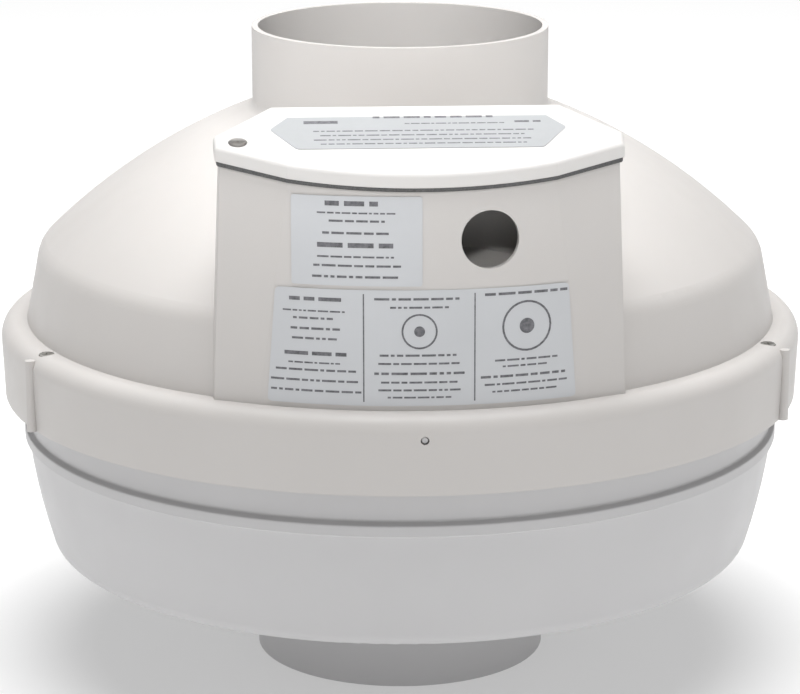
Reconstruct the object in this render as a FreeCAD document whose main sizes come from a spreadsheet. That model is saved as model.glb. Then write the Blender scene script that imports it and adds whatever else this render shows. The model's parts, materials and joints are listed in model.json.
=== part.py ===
"""Inline duct fan with an external-rotor motor and a backward-curved impeller.

Millimetres, +Z up.  The origin is the centre of the inlet spigot's rim, the fan's lowest face.
Air enters through the lower spigot, turns outwards through the impeller, rises round the motor
and leaves through the upper spigot.  The terminal box stands on the -Y side of the upper casing.
"""
import FreeCAD, Part
import math
import os
import re

import Sketcher

Vector = FreeCAD.Vector

# ---------------------------------------------------------------- driving dimensions
DIMENSIONS = """
spigot_rad 61.9        | outside of both duct spigots, for a 125 mm duct
spigot_wall 2.6
fan_height 270.6       | rim to rim
wall 3                 | moulded casing wall

dome_foot_z 237.4      | where the dome would meet the upper spigot without its fillet
dome_fillet 4
dome_arc 255           | the dome's profile is an arc of this radius
dome_edge_rad 152.2    | the dome's corner above the side wall
dome_edge_z 179.3
dome_corner 12         | rounding of that corner
side_foot_rad 158.2    | the side wall at the flange
flange_z 149           | top of the flange
flange_rad 169.4
flange_round 7
flange_thick 3.5
skirt_z 117.5          | lower edge of the flange's skirt
skirt_wall 3.3
skirt_draft 1.2        | how far the skirt tapers in towards its lower edge
rib_rad 2.1            | half-round ribs on the skirt, beside the casing screws
rib_angle 64.7

lower_rim_rad 165.2    | lower casing, from its rim down to its floor
lower_rim_z 143.5
lower_rim_high 14
lower_recess_rad 158.4  | recess between the rim and the bead, in the skirt's shade
lower_recess_z 104.5
lower_bead_rad 160.6
lower_bead_z 98.8
lower_step 1.6
lower_arc 260
lower_edge_rad 148.6
lower_edge_z 50
lower_corner 7.5
lower_cone_z 39.5

gasket_in 154.2
gasket_out 158.2
casing_screw_circle 162.2
casing_screw_rad 1.8
casing_head_rad 2.8
catch_z 139.5          | the two catches that hold the casings while they are screwed

box_foot_arc 161       | terminal box, outline at the flange
box_foot_crease 62
box_foot_tip_x 79
box_foot_tip_y 141
box_foot_side_x 80
box_foot_side_y 131.5
box_foot_rear_x 57
box_foot_rear_y 101.5
box_top_z 256          | and its outline at this height
box_top_arc 157.6
box_top_crease 47.5
box_top_tip_x 75
box_top_tip_y 136.2
box_top_side_x 75.6
box_top_side_y 128.4
box_top_rear_x 54.3
box_top_rear_y 109
box_floor_z 181        | lowest level of the wiring space

lid_slope 16.7         | degrees, low at the front
lid_front_z 240        | lid's top face at its front edge
lid_front_y 160
lid_arc 160
lid_crease 50.5
lid_tip_x 77.3
lid_tip_y 138
lid_side_x 78
lid_side_y 128.5
lid_rear_x 56
lid_rear_y 105.5
lid_edge 5.6           | height of the lid's edge
lid_gap 1.2            | shadow gap between lid and box, filled by the gasket
lid_plate 2.6
lid_round 2.2
lid_seat 1.5           | depth of the screw's head in the lid
lid_screw_x -68.6      | one screw holds the lid's left end
lid_screw_y 135
lid_post_rad 2.6
lid_boss_rad 3.6
hook_x 70.2            | and a hook under the box's wall holds its right end
hook_y 135.5
hook_wide 5
hook_thick 2.4
hook_reach 4.2
hook_high 2
hook_z 233
hook_play 0.4

knockout_rad 11.1      | hole for half-inch trade conduit
knockout_angle 9.1     | degrees from the box's middle, towards +X
knockout_z 214
knockout_reach 36

pedestal_y 132         | sleeve that leads the motor cable into the terminal box
pedestal_rad 7.5
pedestal_z 212
cable_rad 3.4

inlet_throat 55.5      | inlet ring
inlet_lip_z 66
inlet_seat_z 46.5
inlet_flange_rad 86
inlet_wall 2
inlet_screw_circle 78

wheel_rad 113          | impeller
wheel_back_z 112
wheel_back_thick 2.6
wheel_eye_rad 61.5
wheel_eye_z 58.5
shroud_knee_z 66
shroud_round 9
wheel_rim_z 84
shroud_wall 2
blade_in_rad 64
blade_sweep 40
blade_arc 110
blade_wall 2.4
blade_count 7

can_rad 46             | motor
can_wall 1.8
can_hub 2.6            | thickness of the can's floor round the shaft
can_floor_z 96
can_top_z 150
can_flange_rad 57
can_screw_circle 51.5
ring_in 38.6
ring_z 104
ring_top_z 142
core_rad 38
core_z 107
core_top_z 139
tube_rad 14
tube_bore 11
tube_z 99.5
base_z 152
base_thick 5
base_rad 44
shaft_rad 4
shaft_top_z 152.4
bearing_wide 7
bearing_outer_in 8.8   | inside of the outer rings
bearing_inner_out 6.2  | outside of the inner rings
ball_circle 7.5
ball_rad 1.25
ball_count 7
slot_count 12          | stator slots, each with a coil side
coil_in 18.5
coil_out 36
coil_low_high 6        | height of the winding's lower and upper heads
coil_top_high 6.4
bearing_low_z 100
bearing_high_z 144

bracket_hub_rad 51
bracket_hub_z 157
bracket_hub_thick 4
bracket_ring_in 140
bracket_ring_wall 3
bracket_ring_z 150
bracket_ring_top_z 164
bracket_screw_circle 147
vane_wall 2.4
vane_count 9
vane_top_z 176
motor_screw_circle 28
cable_exit_y 40
cable_level_z 181
cable_end_z 222
cap_rad 35
cap_top_z 178

small_shank 1.45       | thread core of every screw, in a hole of small_hole
small_hole 1.5

capacitor_x -35        | fittings in the terminal box
capacitor_y 127.8
capacitor_rad 10.5
capacitor_long 44
capacitor_stand_z 213
clip_wall 1.2
clip_wide 8
clip_offset 14         | from the capacitor's middle
clip_foot 5
clip_foot_y 14.3
block_x 24
block_y 117
block_long 40
block_wide 10
block_high 13
block_stand_z 218
earth_x 56
earth_y 124
earth_stand_z 212

label_thick 0.3
rating_y 127
caution_low_z 197
caution_high_z 231
danger_low_z 151
danger_high_z 195.5
"""


def read_dimensions(text):
    """Name and value of each driving dimension, in order."""
    rows = []
    for line in text.splitlines():
        fields = line.split("|")[0].split()
        if fields:
            rows.append((fields[0], fields[1]))
    return rows


doc = FreeCAD.newDocument("inline_duct_fan")
sheet = doc.addObject("Spreadsheet::Sheet", "dims")
for row, (alias, number) in enumerate(read_dimensions(DIMENSIONS), start=1):
    sheet.set(f"A{row}", alias)
    sheet.set(f"B{row}", number)
    sheet.setAlias(f"B{row}", alias)
doc.recompute()
ALIASES = {alias for alias, _ in read_dimensions(DIMENSIONS)}
NODES = []


# ---------------------------------------------------------------- expressions and sketches
def cells(text):
    """An expression in dimension names, with each name written as a cell of the sheet."""
    return re.sub(r"[a-z_]+", lambda word: ("dims." if word[0] in ALIASES else "") + word[0], str(text))


def value(text):
    return float(sheet.evalExpression(cells(text)))


def bind(item, **sizes):
    """Tie properties of an object to expressions; a double underscore stands for a dot."""
    for name, text in sizes.items():
        item.setExpression(name.replace("__", "."), cells(text))


def plane(body, role):
    return next(feature for feature in body.Origin.OriginFeatures if feature.Role == role)


class Corner:
    """One corner of an outline.

    bulge is the radius of the arc to the next corner: positive bulges to the left of the
    direction of travel, negative to the right, none is a straight side.
    fillet rounds the corner itself.
    """

    def __init__(self, across, up, bulge=None, fillet=None):
        self.across, self.up, self.bulge, self.fillet = across, up, bulge, fillet
        self.point = Vector(value(across), value(up), 0)
        self.radius = value(bulge) if bulge else 0.0
        self.round = value(fillet) if fillet else 0.0


def arc_centre(start, end, radius):
    chord = end - start
    height = math.sqrt(max(radius ** 2 - chord.Length ** 2 / 4, 0.0)) * math.copysign(1, radius)
    return (start + end) / 2 + Vector(chord.y, -chord.x, 0) * (height / chord.Length)


def travel(start, end, radius, point):
    """Unit direction of travel at a point of a side."""
    if not radius:
        return (end - start).normalize()
    spoke = point - arc_centre(start, end, radius)
    return (Vector(spoke.y, -spoke.x, 0) * math.copysign(1, radius)).normalize()


def add_arc(sketch, centre, radius, start, end, clockwise):
    """Add an arc; gives its index and which of its ends are the start and the end of travel."""
    angles = [math.atan2(point.y - centre.y, point.x - centre.x) for point in (start, end)]
    if clockwise:
        angles.reverse()
    circle = Part.Circle(centre, Vector(0, 0, 1), abs(radius))
    index = sketch.addGeometry(Part.ArcOfCircle(circle, *angles), False)
    return (index, 2, 1) if clockwise else (index, 1, 2)


def add_outline(sketch, corners):
    """A closed outline, held by its corners, arc radii and corner roundings."""
    count = len(corners)
    starts = [corner.point for corner in corners]
    ends = [corners[(i + 1) % count].point for i in range(count)]
    turns = {}
    for i, corner in enumerate(corners):
        if not corner.round:
            continue
        before = corners[i - 1]
        after = corners[(i + 1) % count]
        into = travel(before.point, corner.point, before.radius, corner.point)
        out = travel(corner.point, after.point, corner.radius, corner.point)
        setback = corner.round * math.tan(math.acos(into.dot(out)) / 2)
        starts[i] = corner.point + out * setback
        ends[i - 1] = corner.point - into * setback
        turns[i] = (into, out)
    sides = []
    for i, corner in enumerate(corners):
        if corner.radius:
            centre = arc_centre(starts[i], ends[i], corner.radius)
            sides.append(add_arc(sketch, centre, corner.radius, starts[i], ends[i], corner.radius > 0))
        else:
            sides.append((sketch.addGeometry(Part.LineSegment(starts[i], ends[i]), False), 1, 2))
    for i, corner in enumerate(corners):
        side, tail, _ = sides[i]
        last, _, head = sides[i - 1]
        held, spot = side, tail
        if i in turns:
            into, out = turns[i]
            clockwise = into.x * out.y - into.y * out.x < 0
            inward = Vector(into.y, -into.x, 0) if clockwise else Vector(-into.y, into.x, 0)
            centre = ends[i - 1] + inward * corner.round
            turn, first, final = add_arc(sketch, centre, corner.round, ends[i - 1], starts[i], clockwise)
            sketch.addConstraint(Sketcher.Constraint("Tangent", last, head, turn, first))
            sketch.addConstraint(Sketcher.Constraint("Tangent", turn, final, side, tail))
            hold(sketch, Sketcher.Constraint("Radius", turn, corner.round), corner.fillet)
            held, spot = sketch.addGeometry(Part.Point(corner.point), True), 1
            sketch.addConstraint(Sketcher.Constraint("PointOnObject", held, 1, last))
            sketch.addConstraint(Sketcher.Constraint("PointOnObject", held, 1, side))
        else:
            sketch.addConstraint(Sketcher.Constraint("Coincident", last, head, side, tail))
        hold(sketch, Sketcher.Constraint("DistanceX", -1, 1, held, spot, corner.point.x), corner.across)
        hold(sketch, Sketcher.Constraint("DistanceY", -1, 1, held, spot, corner.point.y), corner.up)
    for (side, _, _), corner in zip(sides, corners):
        if corner.radius:
            size = f"abs({corner.bulge})"
            hold(sketch, Sketcher.Constraint("Radius", side, abs(corner.radius)), size)


def hold(sketch, constraint, text):
    """Add a dimension to a sketch and tie it to its expression."""
    index = sketch.addConstraint(constraint)
    sketch.setExpression(f"Constraints[{index}]", cells(text))


def add_circle(sketch, across, up, radius):
    centre = Vector(value(across), value(up), 0)
    index = sketch.addGeometry(Part.Circle(centre, Vector(0, 0, 1), value(radius)), False)
    hold(sketch, Sketcher.Constraint("DistanceX", -1, 1, index, 3, centre.x), across)
    hold(sketch, Sketcher.Constraint("DistanceY", -1, 1, index, 3, centre.y), up)
    hold(sketch, Sketcher.Constraint("Radius", index, value(radius)), radius)


def new_sketch(body, role, outlines=(), circles=(), level=None):
    """A sketch on one of the body's own planes, raised to a level where one is given."""
    sketch = body.newObject("Sketcher::SketchObject", body.Name + "_sketch")
    sketch.AttachmentSupport = (plane(body, role), [""])
    sketch.MapMode = "FlatFace"
    if level is not None:
        bind(sketch, AttachmentOffset__Base__z=level)
    for corners in outlines:
        add_outline(sketch, [Corner(*corner) for corner in corners])
    for circle in circles:
        add_circle(sketch, *circle)
    return sketch


# ---------------------------------------------------------------- bodies and features
def new_body(label):
    body = doc.addObject("PartDesign::Body", label)
    body.Label = label
    return body


def node(item, label=None):
    """Mark an object as one of the fan's pieces."""
    if label:
        item.Label = label
    NODES.append(item)
    return item


def settle(body, feature):
    """Recompute a feature and see that it changed the piece."""
    earlier = feature.BaseFeature.Shape.Volume if feature.BaseFeature else 0.0
    doc.recompute()
    if abs(feature.Shape.Volume - earlier) < 0.01:
        raise RuntimeError(f"{body.Label}: {feature.Name} changed nothing")
    return feature


def revolve(body, *corners):
    feature = body.newObject("PartDesign::Revolution", body.Name + "_turned")
    feature.Profile = new_sketch(body, "XZ_Plane", [corners])
    feature.ReferenceAxis = (feature.Profile[0], ["V_Axis"])
    feature.Angle = 360
    return settle(body, feature)


def groove(body, *corners):
    feature = body.newObject("PartDesign::Groove", body.Name + "_groove")
    feature.Profile = new_sketch(body, "XZ_Plane", [corners])
    feature.ReferenceAxis = (feature.Profile[0], ["V_Axis"])
    feature.Angle = 360
    return settle(body, feature)


def pad(body, sketch, length, midplane=False):
    feature = body.newObject("PartDesign::Pad", body.Name + "_pad")
    feature.Profile = sketch
    feature.Midplane = midplane
    bind(feature, Length=length)
    return settle(body, feature)


def pocket(body, sketch, length, midplane=False):
    feature = body.newObject("PartDesign::Pocket", body.Name + "_pocket")
    feature.Profile = sketch
    feature.Midplane = midplane
    feature.Reversed = True
    bind(feature, Length=length)
    return settle(body, feature)


def loft(body, sketches, adds=True):
    kind = "PartDesign::AdditiveLoft" if adds else "PartDesign::SubtractiveLoft"
    feature = body.newObject(kind, body.Name + "_loft")
    feature.Profile = sketches[0]
    feature.Sections = sketches[1:]
    feature.Ruled = True
    return settle(body, feature)


def cylinder(body, adds, radius, height, across, depth, level, turned=None):
    """A plain post or hole; turned is an angle that swings a level cylinder about Z from -Y."""
    kind = "PartDesign::AdditiveCylinder" if adds else "PartDesign::SubtractiveCylinder"
    feature = body.newObject(kind, body.Name + "_round")
    bind(feature, Radius=radius, Height=height)
    if turned is not None:
        feature.Placement.Rotation = FreeCAD.Rotation(value(turned), 0, 90)
    bind(feature, Placement__Base__x=across, Placement__Base__y=depth, Placement__Base__z=level)
    return settle(body, feature)


def block(body, adds, length, width, height, across, depth, level):
    """A plain rectangular block, given by its size and its lowest corner."""
    kind = "PartDesign::AdditiveBox" if adds else "PartDesign::SubtractiveBox"
    feature = body.newObject(kind, body.Name + "_block")
    bind(feature, Length=length, Width=width, Height=height)
    bind(feature, Placement__Base__x=across, Placement__Base__y=depth, Placement__Base__z=level)
    return settle(body, feature)


def polar(body, features, count):
    """Repeat features about Z."""
    pattern = body.newObject("PartDesign::PolarPattern", body.Name + "_pattern")
    pattern.Originals = features
    pattern.Axis = (plane(body, "Z_Axis"), [""])
    pattern.Angle = 360
    pattern.Occurrences = int(value(count))
    body.Tip = pattern
    doc.recompute()
    return pattern


def ring(label, inner, outer, low, high):
    """A plain turned ring."""
    body = node(new_body(label))
    revolve(body, (inner, low), (inner, high), (outer, high), (outer, low))
    return body


def rounded_ring(label, inner, outer, low, high, fillet):
    """A turned ring with rounded corners."""
    body = node(new_body(label))
    revolve(body, (inner, low, None, fillet), (inner, high, None, fillet),
            (outer, high, None, fillet), (outer, low, None, fillet))
    return body


def screw_points(circle, count, first):
    """Centres of equally spaced screws, in expressions; first is an angle from +X."""
    angles = [f"({first} + {360 * i // count})" for i in range(count)]
    return [(f"({circle}) * cos{angle}", f"({circle}) * sin{angle}") for angle in angles]


def screws(label, places, shank, head, seat, reach, head_height, up=True, recess=0.6):
    """Pan-head screws with a cross recess; seat is the level that the heads bear on.

    Heads sit above the seat when up is true, and below it otherwise.
    """
    body = node(new_body(label))
    for across, depth in places:
        low = f"{seat} - {reach}" if up else seat
        cylinder(body, True, shank, reach, across, depth, low)
        low = seat if up else f"{seat} - {head_height}"
        cylinder(body, True, head, head_height, across, depth, low)
        level = f"{seat} + {head_height} - {recess}" if up else f"{seat} - {head_height}"
        for long_x, long_y in ((1, 0.22), (0.22, 1)):
            block(body, False, f"{head} * {1.3 * long_x}", f"{head} * {1.3 * long_y}", recess,
                  f"{across} - {head} * {0.65 * long_x}", f"{depth} - {head} * {0.65 * long_y}", level)
    return body


# ---------------------------------------------------------------- casings
def dome_outside(depth):
    """The outline of the upper casing's outer surface, less the given depth."""
    return [
        (f"spigot_rad - {depth} * spigot_wall / wall", "fan_height"),
        (f"spigot_rad - {depth} * spigot_wall / wall", f"dome_foot_z - {depth}", f"dome_arc - {depth}",
         f"dome_fillet + {depth}"),
        (f"dome_edge_rad - {depth}", f"dome_edge_z - {depth} * 0.6", None, f"dome_corner - {depth}"),
        (f"side_foot_rad - {depth}", "flange_z"),
    ]


def box_outline(arc, crease, tip_x, tip_y, side_x, side_y, rear_x, rear_y, inset="0"):
    """The terminal box's outline, front arc first; inset moves every side inwards."""
    front = f"({arc} - {inset})"
    bend = f"({crease} - {inset} * 0.3)"
    bend_y = f"-sqrt({front} ^ 2 - {bend} ^ 2)"
    tip = (f"({tip_x} - {inset})", f"-({tip_y} - {inset} * 0.5)")
    side = (f"({side_x} - {inset})", f"-({side_y} + {inset} * 0.3)")
    rear = (f"({rear_x} - {inset} * 0.6)", f"-({rear_y} + {inset})")
    return [
        (f"-{bend}", bend_y, f"-{front}"),
        (bend, bend_y),
        tip,
        side,
        rear,
        ("-" + rear[0], rear[1]),
        ("-" + side[0], side[1]),
        ("-" + tip[0], tip[1]),
    ]


BOX_FOOT = ("box_foot_arc", "box_foot_crease", "box_foot_tip_x", "box_foot_tip_y",
            "box_foot_side_x", "box_foot_side_y", "box_foot_rear_x", "box_foot_rear_y")
BOX_TOP = ("box_top_arc", "box_top_crease", "box_top_tip_x", "box_top_tip_y",
           "box_top_side_x", "box_top_side_y", "box_top_rear_x", "box_top_rear_y")
LID = ("lid_arc", "lid_crease", "lid_tip_x", "lid_tip_y", "lid_side_x", "lid_side_y",
       "lid_rear_x", "lid_rear_y")


def box_solid(body, inset, grows, foot):
    """Tapering prism between the box's outlines at the flange and above the lid."""
    sections = []
    for level, sizes in ((foot, BOX_FOOT), ("box_top_z", BOX_TOP)):
        sections.append(new_sketch(body, "XY_Plane", [box_outline(*sizes, inset)], level=level))
    return loft(body, sections, grows)


def lid_level(depth, below="0"):
    """Height of a plane parallel to the lid's top face, at a distance in front of the axis."""
    return f"lid_front_z + (lid_front_y - {depth}) * tan(lid_slope) - ({below})"


def lid_slab(body, top, bottom):
    """Side outline, in Y and Z, of everything between two planes parallel to the lid."""
    near = "(lid_front_y + 20)"
    far = "(lid_rear_y - 20)"
    outline = [("-" + near, lid_level(near, top)), ("-" + far, lid_level(far, top))]
    outline += [("-" + far, lid_level(far, bottom)), ("-" + near, lid_level(near, bottom))]
    return new_sketch(body, "YZ_Plane", [outline])


def make_upper_casing():
    """Outlet spigot, dome, side wall, flange with skirt, and the terminal box, in one moulding."""
    body = node(new_body("upper_casing"))
    box_solid(body, "0", True, "flange_z - 1")
    over = "-(lid_front_z)"
    pocket(body, lid_slab(body, over, "lid_edge + lid_gap"), "4 * lid_tip_x", midplane=True)
    box_solid(body, "wall", False, "box_floor_z")
    skirt_in = "flange_rad - skirt_wall"
    revolve(body, ("spigot_rad - 10", "fan_height"), *dome_outside("0"),
            ("flange_rad", "flange_z", None, "flange_round"), ("flange_rad - skirt_draft", "skirt_z"),
            (skirt_in, "skirt_z"), (skirt_in, "flange_z - flange_thick"),
            ("spigot_rad - 10", "flange_z - flange_thick"))
    pedestal_foot = "pedestal_z - 20"
    cylinder(body, True, "pedestal_rad", "20", "0", "-pedestal_y", pedestal_foot)
    cylinder(body, True, "lid_boss_rad", "60", "lid_screw_x", "-lid_screw_y", "lid_front_z - 60.8")
    for across, depth, long_x, long_y, top in BOX_STANDS:
        block(body, True, long_x, long_y, "24", f"{across} - ({long_x}) / 2", f"-{depth} - ({long_y}) / 2",
              f"{top} - 24")
    groove(body, ("0.01", "fan_height + 1"), *dome_inside(), ("0.01", "flange_z - flange_thick - 1"))
    for across, depth in screw_points("bracket_screw_circle", 4, 45):
        cylinder(body, True, "3.6", "18", across, depth, "bracket_ring_z + 8")
    for across, depth in rib_places("flange_rad"):
        cylinder(body, True, "rib_rad", "flange_z - 2 - skirt_z", across, depth, "skirt_z")
    drill_upper_casing(body)
    return body


def dome_inside():
    """Outline of the air space under the dome, ending in the lip that presses on the gasket."""
    lip = "gasket_in - 0.4"
    top = dome_outside("wall")
    bottom = ("side_foot_rad - wall - 0.3", "flange_z + 3")
    return [(top[0][0], "fan_height + 1")] + top[1:3] + [bottom, (lip, "flange_z"),
                                                        (lip, "flange_z - flange_thick - 1")]


# Raised stands in the terminal box: across, in front of the axis, size in X, size in Y, top level.
BOX_STANDS = [
    ("capacitor_x - clip_offset", "capacitor_y", "clip_wide + 1", "34", "capacitor_stand_z"),
    ("capacitor_x + clip_offset", "capacitor_y", "clip_wide + 1", "34", "capacitor_stand_z"),
    ("block_x", "block_y", "block_long + 4", "block_wide + 2", "block_stand_z"),
    ("earth_x", "earth_y", "12", "12", "earth_stand_z"),
]


def drill_upper_casing(body):
    """Holes of the upper casing, each with its own purpose."""
    for across, depth in rib_places("casing_screw_circle"):
        cylinder(body, False, "casing_screw_rad + 0.3", "flange_thick + 2", across, depth,
                 "flange_z - flange_thick - 1")
        cylinder(body, False, "casing_head_rad + 0.3", "3", across, depth, "flange_z - 1.6")
    cylinder(body, False, "cable_rad + 2.2", "60", "0", "-pedestal_y", "pedestal_z - 40")
    for across, depth in screw_points("bracket_screw_circle", 4, 45):
        cylinder(body, False, "small_hole", "15", across, depth, "bracket_ring_z + 8")
    cylinder(body, False, "small_hole", "18", "lid_screw_x", "-lid_screw_y", "lid_front_z - 17")
    block(body, False, "hook_reach + hook_play", "hook_wide + 2 * hook_play", "hook_high + 2 * hook_play",
          "hook_x", "-hook_y - hook_play", "hook_z - hook_play")
    for across, depth, level in box_screw_places():
        cylinder(body, False, "small_hole", "8.5", across, depth, f"{level} - 8")
    cylinder(body, False, "knockout_rad", "knockout_reach", "(box_foot_arc + 4) * sin(knockout_angle)",
             "-(box_foot_arc + 4) * cos(knockout_angle)", "knockout_z", "180 + knockout_angle")
    for turn in (0, 180):
        cylinder(body, False, "1.6", "skirt_wall + 2", f"(flange_rad + 1) * sin({turn})",
                 f"-(flange_rad + 1) * cos({turn})", "catch_z", f"180 + {turn}")


def box_screw_places():
    """Screws of the fittings in the terminal box, with the level of the stand below each."""
    places = []
    for side in (-1, 1):
        for end in (-1, 1):
            places.append((f"capacitor_x + {side} * clip_offset", f"-capacitor_y + {end} * clip_foot_y",
                           "capacitor_stand_z"))
        places.append((f"block_x + {side} * (block_long / 2 - 3)", "-block_y", "block_stand_z"))
    places.append(("earth_x", "-earth_y", "earth_stand_z"))
    return places


def rib_places(radius):
    """Centres of the four ribs, or of the casing screws beside them, at a radius."""
    angles = [f"({side} * {angle} - 90)" for angle in ("rib_angle", "(180 - rib_angle)") for side in (-1, 1)]
    return [(f"({radius}) * cos{angle}", f"({radius}) * sin{angle}") for angle in angles]


def make_lower_casing():
    """Inlet spigot, shallow floor, tapering side wall and the rim inside the upper casing's skirt."""
    body = node(new_body("lower_casing"))
    bead_in = "lower_bead_rad - lower_step"
    inner = "spigot_rad - spigot_wall"
    revolve(body,
            (inner, "0"),
            (inner, "lower_cone_z + 2", None, "4"),
            ("inlet_flange_rad + 2", "inlet_seat_z"),
            ("lower_edge_rad - 2.2", "lower_edge_z + wall", None, "lower_corner - wall"),
            (f"{bead_in} - wall", "lower_bead_z"),
            ("lower_recess_rad - wall", "lower_rim_z - lower_rim_high"),
            ("gasket_in - 0.4", "lower_rim_z - 4"),
            ("gasket_in - 0.4", "lower_rim_z"),
            ("lower_rim_rad", "lower_rim_z"),
            ("lower_rim_rad", "lower_rim_z - lower_rim_high"),
            ("lower_recess_rad", "lower_rim_z - lower_rim_high - 3"),
            ("lower_recess_rad", "lower_recess_z", None, "1"),
            ("lower_bead_rad", "lower_recess_z - 1.5", None, "1"),
            ("lower_bead_rad", "lower_bead_z"),
            (bead_in, "lower_bead_z - 0.8", "lower_arc"),
            ("lower_edge_rad", "lower_edge_z", None, "lower_corner"),
            ("spigot_rad", "lower_cone_z", None, "4"),
            ("spigot_rad", "0"))
    for across, depth in rib_places("casing_screw_circle"):
        cylinder(body, True, "2.5", "20", across, depth, "lower_rim_z - 21")
    for across, depth in rib_places("casing_screw_circle"):
        cylinder(body, False, "small_hole", "18", across, depth, "lower_rim_z - 17.9")
    for across, depth in screw_points("inlet_screw_circle", 4, 45):
        cylinder(body, True, "5", "4", across, depth, "inlet_seat_z - 4")
    for across, depth in screw_points("inlet_screw_circle", 4, 45):
        cylinder(body, False, "small_hole", "5", across, depth, "inlet_seat_z - 4.5")
    for turn in (0, 180):
        cylinder(body, True, "1.2", "5", f"(lower_rim_rad + 3) * sin({turn})",
                 f"-(lower_rim_rad + 3) * cos({turn})", "catch_z", f"180 + {turn}")
    return body


# ---------------------------------------------------------------- terminal box
def sloped_plate(label, top, bottom, inset):
    """A plate parallel to the lid's top face, with the lid's outline less an inset."""
    body = new_body(label)
    pad(body, lid_slab(body, top, bottom), "4 * lid_tip_x", midplane=True)
    wide = "2 * lid_arc"
    frame = [("-" + wide, "-" + wide), (wide, "-" + wide), (wide, "0"), ("-" + wide, "0")]
    outline = box_outline(*LID, inset)
    sketch = new_sketch(body, "XY_Plane", [frame, outline], level="lid_front_z - 40")
    pocket(body, sketch, "120")
    return body


def make_lid():
    """Lid with a rounded top edge, hollow underneath, with a screw hole and a hook."""
    body = node(sloped_plate("terminal_box_lid", "0", "lid_edge", "0"))
    plate = body.Tip
    fillet = body.newObject("PartDesign::Fillet", "lid_edge_round")
    fillet.Base = (plate, top_edges(plate.Shape))
    bind(fillet, Radius="lid_round")
    settle(body, fillet)
    hollow = sloped_plate("lid_hollow", "lid_plate", "lid_edge + 1", "wall + 1")
    doc.recompute()
    cut = body.newObject("PartDesign::Boolean", "lid_hollowed")
    cut.Type = "Cut"
    cut.setObjects([hollow])
    doc.recompute()
    place = ("lid_screw_x", "-lid_screw_y")
    cylinder(body, True, "lid_post_rad", "6", *place, lid_level("lid_screw_y", "7.6"))
    cylinder(body, False, "small_hole + 0.3", "20", *place, "lid_front_z - 12")
    cylinder(body, False, "lid_boss_rad", "6", *place, lid_level("lid_screw_y", "lid_seat"))
    block(body, True, "hook_thick", "hook_wide", "lid_front_z + 6.6 - hook_z", "hook_x", "-hook_y", "hook_z")
    block(body, True, "hook_reach", "hook_wide", "hook_high", "hook_x", "-hook_y", "hook_z")
    return body


def top_edges(shape):
    """Names of the edges round a sloping plate's top face."""
    face = max(shape.Faces, key=lambda each: each.CenterOfMass.z * (each.normalAt(0, 0).z > 0.5))
    names = []
    for edge in face.Edges:
        for index, other in enumerate(shape.Edges, start=1):
            if other.isSame(edge):
                names.append(f"Edge{index}")
    return names


def make_lid_gasket():
    """Foam strip between the box's rim and the lid, open round the screw post."""
    body = node(sloped_plate("lid_gasket", "lid_edge", "lid_edge + lid_gap", "2.2"))
    inner = new_sketch(body, "XY_Plane", [box_outline(*LID, "4.8")], level="lid_front_z - 40")
    pocket(body, inner, "120")
    cylinder(body, False, "lid_boss_rad + 0.6", "20", "lid_screw_x", "-lid_screw_y", "lid_front_z - 10")


def make_lid_screw():
    place = ("lid_screw_x", "-lid_screw_y")
    screws("lid_screw", [place], "small_shank", "3.2", lid_level("lid_screw_y", "lid_seat"), "15", "1.7")


def make_capacitor():
    """Motor capacitor lying across the box, with two connector tabs at its inner end."""
    body = node(new_body("capacitor"))
    circle = ("0", "0", "capacitor_rad")
    pad(body, new_sketch(body, "YZ_Plane", circles=[circle]), "capacitor_long", midplane=True)
    for side in (-1, 1):
        block(body, True, "7", "0.8", "5", "capacitor_long / 2 - 0.5", f"{side} * 5 - 0.4", "-2.5")
    bind(body, Placement__Base__x="capacitor_x", Placement__Base__y="-capacitor_y",
         Placement__Base__z="capacitor_stand_z + capacitor_rad")


def make_capacitor_clips():
    """Two straps over the capacitor, each with two screwed feet."""
    body = node(new_body("capacitor_clips"))
    outer = "(capacitor_rad + 0.05 + clip_wall)"
    inner = "(capacitor_rad + 0.05)"
    circles = [("0", "0", outer), ("0", "0", inner)]
    for side in (-1, 1):
        low_x = f"{side} * clip_offset - clip_wide / 2"
        pad(body, new_sketch(body, "YZ_Plane", circles=circles, level=low_x), "clip_wide")
        block(body, False, "clip_wide + 2", "40", "20", f"{low_x} - 1", "-20", "-20")
        for end, near in ((-1, "-" + outer), (1, inner)):
            block(body, True, "clip_wide", "clip_wall", "capacitor_rad", low_x, near, "-capacitor_rad")
            foot_y = f"{near} - clip_foot" if end < 0 else f"{near} + clip_wall"
            block(body, True, "clip_wide", "clip_foot", "clip_wall", low_x, foot_y, "-capacitor_rad")
        for end in (-1, 1):
            cylinder(body, False, "small_hole + 0.2", "4", f"{side} * clip_offset",
                     f"{end} * clip_foot_y", "-capacitor_rad - 1")
    bind(body, Placement__Base__x="capacitor_x", Placement__Base__y="-capacitor_y",
         Placement__Base__z="capacitor_stand_z + capacitor_rad")


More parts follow.
